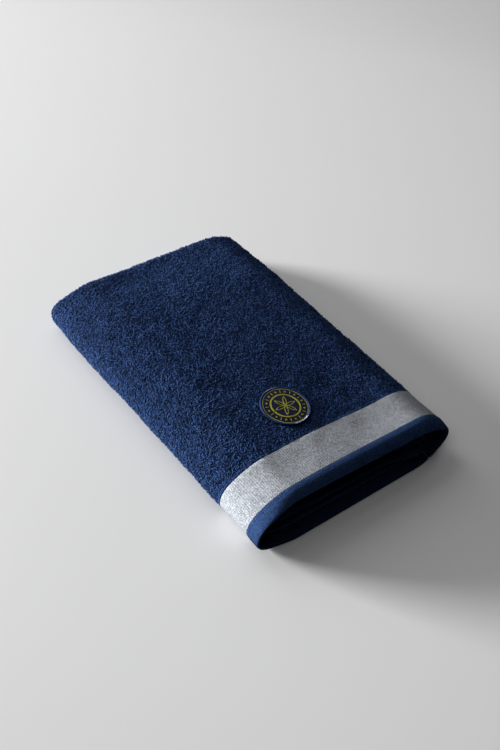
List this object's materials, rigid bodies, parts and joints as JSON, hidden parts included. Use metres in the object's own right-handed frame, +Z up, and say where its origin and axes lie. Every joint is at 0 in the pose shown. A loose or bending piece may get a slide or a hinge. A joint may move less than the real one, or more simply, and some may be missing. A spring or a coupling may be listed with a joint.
{
  "type": "folded bath towel",
  "caption": "Terry bath towel folded into a flat pad, with a woven border band and hem at its open end and a round badge on its top layer.",
  "frame": {"origin": "centre of the folded pad's underside, on the surface it lies on", "axes": "+X across the pad, +Y along the pad from the hems to the folded end, +Z up"},
  "size_m": [0.2536, 0.3734, 0.0568],
  "materials": {
    "towel": "navy cotton terry with a light grey melange flat-woven border band and a navy hem",
    "badge": "glossy navy dome with yellow line work and a blue bevelled rim"
  },
  "bodies": {
    "root": {"towel": "towel", "badge": "badge"}
  },
  "joints": []
}
